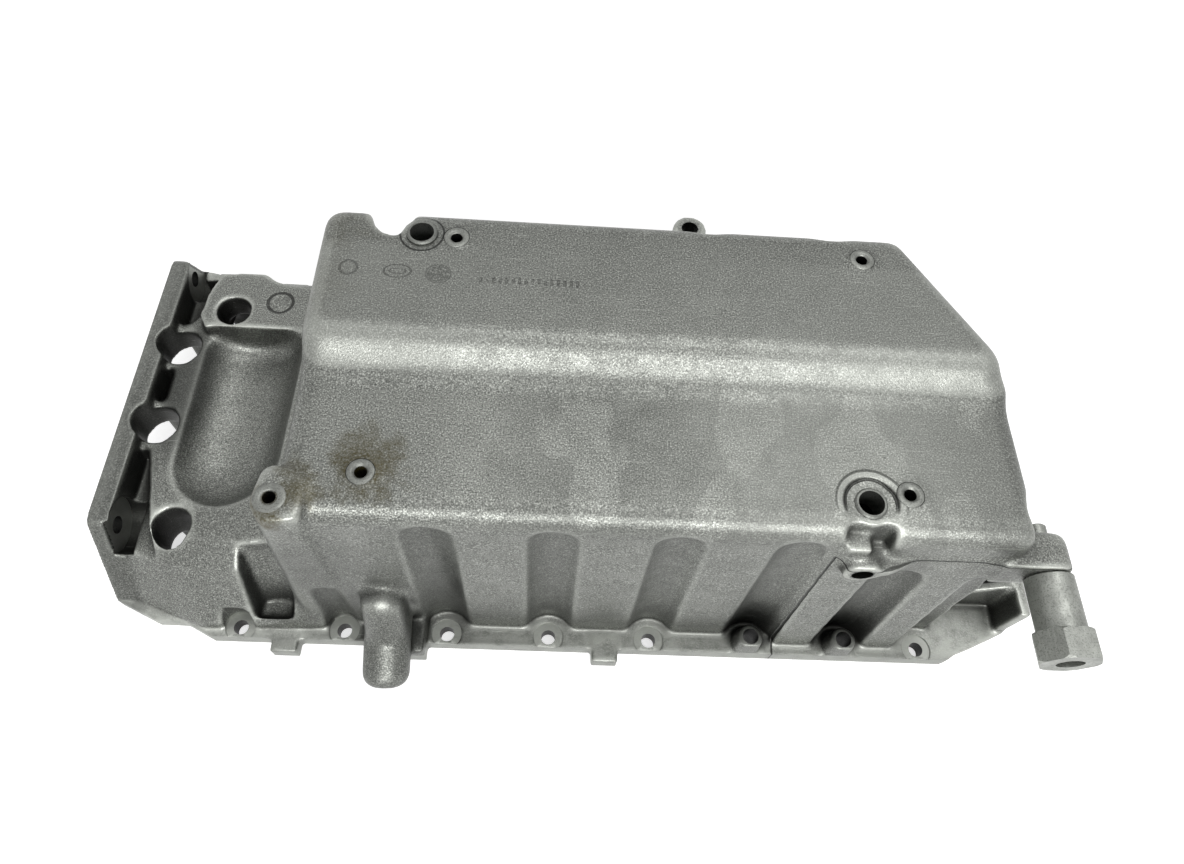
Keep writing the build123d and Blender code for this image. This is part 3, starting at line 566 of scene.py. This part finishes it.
class Tree:
    """A short way to write a material's nodes."""

    def __init__(self, name):
        self.material = bpy.data.materials.new(name)
        self.material.use_nodes = True
        self.tree = self.material.node_tree
        self.shader = self.tree.nodes["Principled BSDF"]
        self.coords = self.tree.nodes.new("ShaderNodeTexCoord").outputs["Object"]
        parts = self.tree.nodes.new("ShaderNodeSeparateXYZ")
        self.tree.links.new(self.coords, parts.inputs[0])
        self.x, self.y, self.z = parts.outputs

    def link(self, source, target):
        """Joins a source, a number or a colour to a socket."""
        if isinstance(source, bpy.types.NodeSocket):
            self.tree.links.new(source, target)
        else:
            target.default_value = source

    def math(self, operation, first, second=0.0, third=0.0):
        """A Math node's result."""
        node = self.tree.nodes.new("ShaderNodeMath")
        node.operation = operation
        for value, socket in zip((first, second, third), node.inputs):
            self.link(value, socket)
        return node.outputs[0]

    def times(self, first, *others):
        """The product of two or more values."""
        for value in others:
            first = self.math("MULTIPLY", first, value)
        return first

    def larger(self, first, *others):
        """The largest of the values."""
        for value in others:
            first = self.math("MAXIMUM", first, value)
        return first

    def stretched(self, scale, turn=(0.0, 0.0, 0.0)):
        """Object coordinates turned and scaled."""
        node = self.tree.nodes.new("ShaderNodeMapping")
        self.link(self.coords, node.inputs["Vector"])
        node.inputs["Scale"].default_value = scale
        node.inputs["Rotation"].default_value = turn
        return node.outputs[0]

    def noise(self, scale, detail=4.0, rough=0.55, vector=None):
        """Noise from 0 to 1."""
        node = self.tree.nodes.new("ShaderNodeTexNoise")
        self.link(vector or self.coords, node.inputs["Vector"])
        node.inputs["Scale"].default_value = scale
        node.inputs["Detail"].default_value = detail
        node.inputs["Roughness"].default_value = rough
        return node.outputs[0]

    def cells(self, scale):
        """The distance to the nearest of many scattered points."""
        node = self.tree.nodes.new("ShaderNodeTexVoronoi")
        self.link(self.coords, node.inputs["Vector"])
        node.inputs["Scale"].default_value = scale
        return node.outputs["Distance"]

    def span(self, value, low, high, out_low=0.0, out_high=1.0):
        """Maps low..high smoothly onto out_low..out_high."""
        node = self.tree.nodes.new("ShaderNodeMapRange")
        node.interpolation_type = "SMOOTHSTEP"
        self.link(value, node.inputs["Value"])
        node.inputs["From Min"].default_value = low
        node.inputs["From Max"].default_value = high
        node.inputs["To Min"].default_value = out_low
        node.inputs["To Max"].default_value = out_high
        return node.outputs[0]

    def mix(self, share, first, second):
        """Two colours mixed."""
        node = self.tree.nodes.new("ShaderNodeMix")
        node.data_type = "RGBA"
        self.link(share, node.inputs[0])
        self.link(first, node.inputs[6])
        self.link(second, node.inputs[7])
        return node.outputs[2]

    def attribute(self, name):
        """A number kept on the mesh."""
        node = self.tree.nodes.new("ShaderNodeAttribute")
        node.attribute_name = name
        return node.outputs["Fac"]

    def near(self, place, reach, wobble=None):
        """1 at a place, falling to 0 at its reach, which a wobble makes uneven."""
        node = self.tree.nodes.new("ShaderNodeVectorMath")
        node.operation = "DISTANCE"
        self.link(self.coords, node.inputs[0])
        node.inputs[1].default_value = place
        distance = node.outputs["Value"]
        if wobble is not None:
            distance = self.math("MULTIPLY_ADD", wobble, reach, distance)
        return self.span(distance, reach * 0.25, reach, 1.0, 0.0)

    def ellipse(self, place, radii):
        """The distance from a place in the plan, in units of the two radii, so that the ellipse is at 1."""
        node = self.tree.nodes.new("ShaderNodeMapping")
        self.link(self.coords, node.inputs["Vector"])
        node.inputs["Scale"].default_value = (1 / radii[0], 1 / radii[1], 0.0)
        node.inputs["Location"].default_value = (-place[0] / radii[0], -place[1] / radii[1], 0.0)
        length = self.tree.nodes.new("ShaderNodeVectorMath")
        length.operation = "LENGTH"
        self.link(node.outputs[0], length.inputs[0])
        return length.outputs["Value"]

    def outline(self, place, radii, width):
        """1 on the line of an ellipse in the plan, 0 away from it."""
        off = self.math("ABSOLUTE", self.math("SUBTRACT", self.ellipse(place, radii), 1.0))
        return self.span(off, 0.4 * width / radii[0], width / radii[0], 1.0, 0.0)

    def between(self, value, middle, half, soft):
        """1 within a half width of a middle value, 0 beyond it."""
        off = self.math("ABSOLUTE", self.math("SUBTRACT", value, middle))
        return self.span(off, half - soft, half, 1.0, 0.0)

    def bump(self, height, depth, below=None):
        """A bump from a height of 0 to 1 and its depth in metres."""
        node = self.tree.nodes.new("ShaderNodeBump")
        node.inputs["Distance"].default_value = depth
        node.inputs["Strength"].default_value = 1.0
        self.link(height, node.inputs["Height"])
        if below is not None:
            self.link(below, node.inputs["Normal"])
        return node.outputs[0]


def grey(level, warm=0.0):
    """A nearly neutral colour with the slight green of the casting."""
    return (level * (0.970 + warm), level, level * (0.925 - warm), 1.0)


def over_high_floor(tree):
    """1 on the high floor, 0 below it."""
    return tree.span(tree.z, HIGH_FLOOR - 2.8 * MM, HIGH_FLOOR - 1.3 * MM)


def over_low_floor(tree):
    """1 on the low floor and above it, 0 below."""
    return tree.span(tree.z, LOW_FLOOR - 3.8 * MM, LOW_FLOOR - 2.3 * MM)


def cast_marks(tree):
    """Plain raised foundry marks on the high floor: a circle, two ovals and a row of short bars."""
    circle = tree.outline(MARK_CIRCLE, (MARK_CIRCLE_RADIUS, MARK_CIRCLE_RADIUS), MARK_LINE)
    outer_oval = tree.outline(MARK_OVAL, MARK_OVAL_RADII, MARK_LINE)
    inner_oval = tree.outline(MARK_OVAL, MARK_INNER_RADII, 0.4 * MM)
    bars = tree.span(tree.math("SINE", tree.times(tree.x, 2 * math.pi / MARK_BAR_PITCH)), 0.1, 0.5)
    uneven = tree.span(tree.noise(420.0, 2.0, 0.6), 0.40, 0.52)
    along = tree.between(tree.x, MARK_ROW[0], MARK_ROW_HALF[0], 0.5 * MM)
    across = tree.between(tree.y, MARK_ROW[1], MARK_ROW_HALF[1], 0.4 * MM)
    row = tree.times(along, bars, across, uneven)
    return tree.times(tree.larger(circle, outer_oval, inner_oval, row), over_high_floor(tree))


def parting_lines(tree):
    """Fine grooves on the front wall: one up to the ledge, and one along under it."""
    upright = tree.between(tree.x, PARTING_X, PARTING_HALF, PARTING_SOFT)
    upright = tree.times(upright, tree.span(tree.z, PARTING_Z, PARTING_Z - 0.4 * MM))
    level = tree.between(tree.z, PARTING_Z, PARTING_HALF, PARTING_SOFT)
    level = tree.times(level, tree.span(tree.x, PARTING_X - 0.2 * MM, PARTING_X))
    return tree.times(tree.larger(upright, level), tree.span(tree.y, FRONT_WALL + 4 * MM, FRONT_WALL))


def ring_grooves(tree):
    """Fine grooves round the two dowels and the round pad at the gearbox end."""
    front = tree.outline(DOWEL_FRONT, (FRONT_GROOVE, FRONT_GROOVE), 0.7 * MM)
    front = tree.times(front, tree.span(tree.y, DOWEL_FRONT[1] - 4 * MM, DOWEL_FRONT[1]))
    rear = tree.outline(DOWEL_REAR, (REAR_GROOVE, REAR_GROOVE), 0.5 * MM)
    pad = tree.outline(PAD, (PAD_RADIUS, PAD_RADIUS), 1.0 * MM)
    pad = tree.times(pad, tree.between(tree.z, PAD[2], 5 * MM, 1 * MM))
    return tree.larger(tree.times(tree.larger(front, rear), over_low_floor(tree)), pad)


def dowel_bead_and_highlight(tree):
    """The soft raised bead round the back of the front dowel, raised by the bump and lighter as a painted
    highlight.
    """
    bead_and_highlight = tree.outline(DOWEL_FRONT, (DOWEL_BEAD, DOWEL_BEAD), 2.2 * MM)
    behind = tree.span(tree.y, DOWEL_FRONT[1] - 6 * MM, DOWEL_FRONT[1] + 1 * MM)
    return tree.times(bead_and_highlight, behind, over_low_floor(tree))


def dial_dots(tree):
    """The round dial on the high floor: scattered dots within a thin circle."""
    dots = tree.span(tree.cells(700.0), 0.28, 0.5)
    inside = tree.span(tree.ellipse(DIAL, DIAL_DOTS_RADII), 1.0, 0.9)
    rim = tree.outline(DIAL, DIAL_RADII, 0.5 * MM)
    return tree.times(tree.larger(tree.times(inside, dots), rim), over_high_floor(tree), 0.55)


def painted_scallop_shade(tree):
    """Painted shade in the scallops of the front wall, darkest left of their middles."""
    bands = [tree.between(tree.x, x - 2 * MM, 12.5 * MM, 7 * MM) for x in scallop_places()]
    wall = tree.span(tree.y, FRONT_WALL + 6 * MM, FRONT_WALL + 2 * MM)
    below_edge = tree.span(tree.z, LOW_FLOOR - 8.8 * MM, LOW_FLOOR - 24.8 * MM)
    above_rail = tree.span(tree.z, RAIL_TOP + 1 * MM, RAIL_TOP + 9 * MM, 0.0, 0.33)
    return tree.times(tree.larger(*bands), wall, below_edge, above_rail)


def painted_shade_and_dial(tree):
    """Painted shade on the trough's side by the flange, the flange, the high floor, the scallops, the tube
    and the corner column, and the darker dots of the dial."""
    trough = tree.span(tree.ellipse(TROUGH_SIDE, TROUGH_SIDE_RADII), 0.45, 1.0, 0.75, 0.0)
    trough = tree.times(trough, tree.span(tree.z, TROUGH_EDGE, TROUGH_EDGE - 6 * MM))
    flange = tree.span(tree.x, FLANGE_END + 3 * MM, FLANGE_END - 3 * MM, 0.0, 0.45)
    tube = tree.span(tree.y, TUBE_START, TUBE_START - 5 * MM, 0.0, 0.30)
    column = tree.times(tree.near(COLUMN, COLUMN_REACH), 0.35)
    high_floor = tree.span(tree.z, HIGH_FLOOR - 1.4 * MM, HIGH_FLOOR - 0.5 * MM, 0.0, 0.24)
    return tree.larger(trough, flange, dial_dots(tree), high_floor, painted_scallop_shade(tree), tube, column)


def boss_tops(tree):
    """The rubbed tops of the two raised bolt bosses."""
    tops = []
    for place in pattern_places(mounts["boss_bolts"]):
        top = tree.span(tree.ellipse(place, (BOSS_TOP_RADIUS, BOSS_TOP_RADIUS)), 1.0, 0.88, 0.0, 0.7)
        tops.append(tree.times(top, tree.span(tree.z, BOSS_HEIGHT - 1.4 * MM, BOSS_HEIGHT - 0.7 * MM)))
    return tree.larger(*tops)


def painted_light_and_boss_tops(tree):
    """Painted light: a painted highlight on the slope between the floors, most at its ends, and painted
    light on the right of the low floor; and the rubbed boss tops."""
    middle = (LOW_FLOOR + HIGH_FLOOR) / 2
    slope = tree.between(tree.z, middle, (HIGH_FLOOR - LOW_FLOOR) / 2 - 0.3 * MM, 1.2 * MM)
    slope = tree.times(slope, tree.between(tree.y, SLOPE_SPAN_Y[0], SLOPE_SPAN_Y[1], 5 * MM))
    slope = tree.times(slope, tree.between(tree.x, SLOPE_SPAN_X[0], SLOPE_SPAN_X[1], 12 * MM))
    from_middle = tree.math("ABSOLUTE", tree.math("SUBTRACT", tree.x, SLOPE_MIDDLE_X))
    slope = tree.times(slope, tree.span(from_middle, 35 * MM, 115 * MM, 0.08, 0.38))
    low = tree.times(tree.near(PAINTED_LIGHT_FLOOR, PAINTED_LIGHT_REACH), 0.2)
    return tree.larger(slope, low, boss_tops(tree))


def stains(tree, mottle):
    """Baked brown oil round the front screw and the corner lug, and smaller spots along the edges."""
    wobble = tree.span(tree.noise(120.0, 5.0, 0.65), 0.25, 0.75, -0.30, 0.30)
    spots = [tree.times(tree.near(place, reach, wobble), share) for place, reach, share in STAINS]
    speckle = tree.span(tree.noise(900.0, 3.0, 0.6), 0.35, 0.65, 0.55, 1.0)
    return tree.times(tree.larger(*spots), speckle, tree.span(mottle, 0.3, 0.65, 0.8, 1.0))


def casting_grain(tree, blotch, mottle, grain):
    """The casting's skin: wide blotches, mottling, light and dark grains, and faint lengthwise streaks."""
    level = tree.mix(tree.span(blotch, 0.3, 0.7), grey(0.165), grey(0.21))
    level = tree.mix(tree.span(mottle, 0.25, 0.75, 0.0, 0.45), level, grey(0.135))
    level = tree.mix(tree.span(grain, 0.50, 0.70, 0.0, 0.85), level, grey(0.46))
    level = tree.mix(tree.span(grain, 0.50, 0.30, 0.0, 0.85), level, grey(0.05))
    streak = tree.noise(1.0, 3.0, 0.6, tree.stretched((160.0, 1700.0, 1700.0), (0.0, 0.0, 0.05)))
    return tree.mix(tree.span(streak, 0.45, 0.75, 0.0, 0.24), level, grey(0.32))


def handled_patches(tree):
    """Where hands have darkened the low floor: patches with sharp borders, none at its left end."""
    low_floor = tree.between(tree.z, LOW_FLOOR - 5.8 * MM, 9 * MM, 5 * MM)
    patches = tree.noise(17.0, 2.5, 0.45, tree.stretched((1.5, 0.7, 1.0), (0.0, 0.0, 0.35)))
    from_left = tree.span(tree.x, HANDLED_START, HANDLED_START + 45 * MM)
    return tree.times(tree.span(patches, 0.50, 0.512), from_left, low_floor, 0.32)


def edge_wear_and_highlight(tree, relief, mottle):
    """Bright edges, partly rubbed wear and partly a painted highlight, fewer on the rail, the flange and the
    tube.
    """
    body = tree.span(tree.z, RAIL_TOP + 1 * MM, RAIL_TOP + 7 * MM, 0.4, 1.0)
    off_flange = tree.span(tree.x, FLANGE_END - 5 * MM, FLANGE_END + 1 * MM, 0.45, 1.0)
    off_tube = tree.span(tree.y, TUBE_START - 5 * MM, TUBE_START, 0.15, 1.0)
    edges = tree.times(tree.span(relief, 0.12, 0.8), tree.span(mottle, 0.2, 0.7, 0.3, 1.0))
    return tree.times(edges, body, off_flange, off_tube)


def painted_hollow_shade(tree, level, relief, free, mottle):
    """The level with painted shade in inner corners, in deep hollows and at the foot of the front wall."""
    hollow = tree.times(tree.span(relief, -0.1, -0.9), tree.span(mottle, 0.2, 0.7, 0.5, 1.0))
    level = tree.mix(tree.times(hollow, 0.7), level, grey(0.045, 0.02))
    level = tree.mix(tree.span(free, 0.94, 0.30, 0.0, 0.92), level, grey(0.025, 0.02))
    front_wall = tree.span(tree.y, FRONT_WALL + 6 * MM, FRONT_WALL)
    above_rail = tree.span(tree.z, RAIL_TOP + 1 * MM, RAIL_TOP + 11 * MM)
    scalloped = tree.times(tree.span(free, 0.985, 0.84, 0.0, 0.55), front_wall, above_rail)
    return tree.mix(scalloped, level, grey(0.06))


def scratches(tree):
    """Thin scratches in four directions: the crests of noise drawn out along each of them."""
    crests = []
    for turn, width in ((0.35, 900.0), (-0.9, 1100.0), (1.45, 1000.0), (0.9, 950.0)):
        threads = tree.noise(1.0, 1.5, 0.5, tree.stretched((45.0, width, width), (0.0, 0.0, turn)))
        crests.append(tree.span(threads, 0.73, 0.78))
    return tree.larger(*crests)


def cast_aluminium():
    """Die cast aluminium: grainy grey, handled patches, bright edges, painted shade and light, marks and
    oil.
    """
    tree = Tree("cast_aluminium")
    relief = tree.attribute("relief")
    machined = tree.attribute("machined")
    blotch = tree.noise(15.0, 4.0, 0.55)
    mottle = tree.noise(110.0, 6.0, 0.62)
    grain = tree.noise(1500.0, 2.0, 0.6)
    wear_and_highlight = edge_wear_and_highlight(tree, relief, mottle)
    grooves = tree.larger(parting_lines(tree), ring_grooves(tree))
    marks = cast_marks(tree)
    bead_and_highlight = dowel_bead_and_highlight(tree)
    scratch = scratches(tree)
    pits = tree.times(tree.span(tree.cells(150.0), 0.09, 0.04), tree.span(blotch, 0.52, 0.6))
    rail = tree.span(tree.z, RAIL_TOP + 2 * MM, RAIL_TOP + 0.5 * MM)
    oil = stains(tree, mottle)
    level = casting_grain(tree, blotch, mottle, grain)
    level = tree.mix(handled_patches(tree), level, grey(0.075))
    # Painted highlight on the slope between the floors and painted light on the low floor's right; worn boss
    # tops.
    level = tree.mix(painted_light_and_boss_tops(tree), level, grey(0.42))
    level = tree.mix(tree.times(rail, tree.span(mottle, 0.3, 0.6, 0.3, 0.85)), level, grey(0.46))
    # Bright edges: rubbed wear and a painted highlight.
    level = tree.mix(tree.times(wear_and_highlight, 0.8), level, grey(0.52))
    # Painted shade in inner corners, in deep hollows and on the front wall, from the relief and open
    # attributes.
    level = painted_hollow_shade(tree, level, relief, tree.attribute("open"), mottle)
    # Painted shade on the darker places, and the dial's darker dots.
    level = tree.mix(painted_shade_and_dial(tree), level, grey(0.045))
    level = tree.mix(tree.times(grooves, 0.85), level, grey(0.03))
    level = tree.mix(tree.times(marks, 0.5), level, grey(0.06))
    # The bead behind the front dowel, lighter as a painted highlight.
    level = tree.mix(tree.times(bead_and_highlight, 0.4), level, grey(0.42))
    level = tree.mix(tree.times(scratch, 0.25), level, grey(0.5))
    level = tree.mix(tree.times(pits, 0.7), level, grey(0.05))
    level = tree.mix(tree.span(machined, 0.75, 0.95, 0.0, 0.8), level, grey(0.40))
    # Painted shade: the drilled walls of the holes nearly black.
    level = tree.mix(tree.between(machined, 0.5, 0.2, 0.1), level, grey(0.02))
    level = tree.mix(oil, level, OIL_BROWN)
    tree.link(level, tree.shader.inputs["Base Color"])
    tree.link(tree.math("MULTIPLY_ADD", oil, -0.5, 0.9), tree.shader.inputs["Metallic"])
    rough = tree.math("ADD", tree.span(mottle, 0.2, 0.8, 0.36, 0.50), tree.times(wear_and_highlight, -0.06))
    tree.link(rough, tree.shader.inputs["Roughness"])
    normal = tree.bump(tree.noise(60.0, 4.0, 0.5), 0.28 * MM)
    for height, depth in ((grain, 0.12), (scratch, -0.02), (marks, 0.8), (grooves, -0.6), (bead_and_highlight, 1.0)):
        normal = tree.bump(height, depth * MM, normal)
    tree.link(normal, tree.shader.inputs["Normal"])
    return tree.material


def turned_metal(name, level, rough):
    """Turned or plated metal: even grey with fine streaks and small marks."""
    tree = Tree(name)
    streak = tree.noise(1.0, 3.0, 0.6, tree.stretched((900.0, 120.0, 900.0)))
    grain = tree.noise(1500.0, 2.0, 0.6)
    blotch = tree.noise(140.0, 4.0, 0.6)
    colour = tree.mix(tree.span(blotch, 0.3, 0.75), grey(level), grey(level * 0.7))
    colour = tree.mix(tree.span(streak, 0.45, 0.8, 0.0, 0.3), colour, grey(level * 1.5))
    colour = tree.mix(tree.span(grain, 0.50, 0.32, 0.0, 0.6), colour, grey(level * 0.35))
    tree.link(colour, tree.shader.inputs["Base Color"])
    tree.shader.inputs["Metallic"].default_value = 0.95
    tree.link(tree.span(blotch, 0.2, 0.8, rough - 0.06, rough + 0.08), tree.shader.inputs["Roughness"])
    tree.link(tree.bump(grain, 0.08 * MM), tree.shader.inputs["Normal"])
    return tree.material


# Camera, lamps and floor

def frame_matrix(x_axis, y_axis, z_axis, place):
    """The matrix of an object with these axes at a place."""
    columns = (x_axis, y_axis, z_axis, place)
    return Matrix([[column[row] for column in columns] for row in range(3)] + [[0, 0, 0, 1]])


def set_camera():
    """The camera at the photograph's angle."""
    heading = np.array((math.sin(CAMERA_YAW), math.cos(CAMERA_YAW), 0.0))
    forward = math.cos(CAMERA_PITCH) * heading - math.sin(CAMERA_PITCH) * np.array((0.0, 0.0, 1.0))
    level = np.array((math.cos(CAMERA_YAW), -math.sin(CAMERA_YAW), 0.0))
    rise = np.cross(level, forward)
    right = math.cos(CAMERA_ROLL) * level + math.sin(CAMERA_ROLL) * rise
    up = -math.sin(CAMERA_ROLL) * level + math.cos(CAMERA_ROLL) * rise
    camera = bpy.data.cameras.new("camera")
    camera.sensor_fit = "HORIZONTAL"
    camera.sensor_width = SENSOR_WIDTH
    camera.lens = CAMERA_LENS
    camera.clip_start = 0.01
    camera.clip_end = 50.0
    stand = bpy.data.objects.new("camera", camera)
    bpy.context.scene.collection.objects.link(stand)
    stand.matrix_world = frame_matrix(right, up, -forward, CAMERA_PLACE)
    bpy.context.scene.camera = stand


def lamp(name, place, target, size, power):
    """A soft square lamp that faces a target."""
    light = bpy.data.lights.new(name, "AREA")
    light.shape = "RECTANGLE"
    light.size = size[0]
    light.size_y = size[1]
    light.energy = power
    holder = bpy.data.objects.new(name, light)
    bpy.context.scene.collection.objects.link(holder)
    away = np.array(place) - np.array(target)
    away = away / np.linalg.norm(away)
    side = np.cross((0.0, 0.0, 1.0), away)
    side = side / np.linalg.norm(side)
    up = np.cross(away, side)
    holder.matrix_world = frame_matrix(side, up, away, place)


def seen_directly(tree):
    """1 for camera, glossy and transmission rays, 0 for light that falls on things."""
    path = tree.nodes.new("ShaderNodeLightPath")
    share = path.outputs["Is Camera Ray"]
    for name in ("Is Glossy Ray", "Is Transmission Ray"):
        node = tree.nodes.new("ShaderNodeMath")
        node.operation = "MAXIMUM"
        tree.links.new(share, node.inputs[0])
        tree.links.new(path.outputs[name], node.inputs[1])
        share = node.outputs[0]
    return share


def set_world(strength):
    """White where it is seen, and a plain level of light where it falls."""
    world = bpy.data.worlds.new("room")
    world.use_nodes = True
    bpy.context.scene.world = world
    tree = world.node_tree
    background = tree.nodes["Background"]
    background.inputs["Color"].default_value = (1.0, 1.0, 1.0, 1.0)
    spread = tree.nodes.new("ShaderNodeMapRange")
    tree.links.new(seen_directly(tree), spread.inputs["Value"])
    spread.inputs["To Min"].default_value = strength
    spread.inputs["To Max"].default_value = 1.0
    tree.links.new(spread.outputs[0], background.inputs["Strength"])


def pale_floor(lift, gloss_lift):
    """A wide pale floor that shows white and keeps the object's shadow."""
    corners = [(x * FLOOR_HALF, y * FLOOR_HALF, 0) for x, y in ((-1, -1), (1, -1), (1, 1), (-1, 1))]
    floor = mesh_object("floor", corners, [(0, 1, 2, 3)])
    material = bpy.data.materials.new("floor_paper")
    material.use_nodes = True
    tree = material.node_tree
    shader = tree.nodes["Principled BSDF"]
    shader.inputs["Base Color"].default_value = (0.82, 0.82, 0.82, 1.0)
    shader.inputs["Roughness"].default_value = 0.9
    shader.inputs["Emission Color"].default_value = (1.0, 1.0, 1.0, 1.0)
    path = tree.nodes.new("ShaderNodeLightPath")
    scaled = tree.nodes.new("ShaderNodeMath")
    scaled.operation = "MULTIPLY_ADD"
    tree.links.new(path.outputs["Is Camera Ray"], scaled.inputs[0])
    scaled.inputs[1].default_value = lift
    gloss = tree.nodes.new("ShaderNodeMath")
    gloss.operation = "MULTIPLY"
    tree.links.new(path.outputs["Is Glossy Ray"], gloss.inputs[0])
    gloss.inputs[1].default_value = gloss_lift
    tree.links.new(gloss.outputs[0], scaled.inputs[2])
    tree.links.new(scaled.outputs[0], shader.inputs["Emission Strength"])
    floor.data.materials.append(material)


def dress():
    """Every piece with its material."""
    aluminium = cast_aluminium()
    skin = casting_skin()
    skin.data.materials.clear()
    skin.data.materials.append(aluminium)
    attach(skin, "root")
    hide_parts("pan_casting")
    rings = screw_rings()
    rings.data.shade_smooth()
    rings.data.set_sharp_from_angle(angle=RING_SHARP)
    rings.data.materials.append(turned_metal("turned_aluminium", level=0.25, rough=0.46))
    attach(rings, "root")
    steel = turned_metal("dowel_steel", level=0.22, rough=0.46)
    plated = turned_metal("sleeve_steel", level=0.36, rough=0.42)
    plug = turned_metal("plug_steel", level=0.3, rough=0.4)
    washer = turned_metal("washer_aluminium", level=0.5, rough=0.4)
    for name, material in (
        ("ring_dowel_front", steel),
        ("ring_dowel_rear", steel),
        ("hex_sleeve", plated),
        ("lug_stud", plated),
        ("drain_plug", plug),
        ("drain_washer", washer),
        ("pan_casting", aluminium),
    ):
        mesh = nodes[name].data
        mesh.materials.clear()
        mesh.materials.append(material)


bpy.context.scene.view_settings.view_transform = "Standard"
set_camera()
dress()
lamp("front_softbox", place=(0.2, -1.7, 1.2), target=(0.0, 0.0, 0.08), size=(1.6, 0.45), power=28.0)
lamp("top_softbox", place=(0.4, 0.2, 2.0), target=(0.0, 0.0, 0.1), size=(1.4, 1.0), power=11.0)
set_world(strength=0.2)
pale_floor(lift=0.68, gloss_lift=0.55)
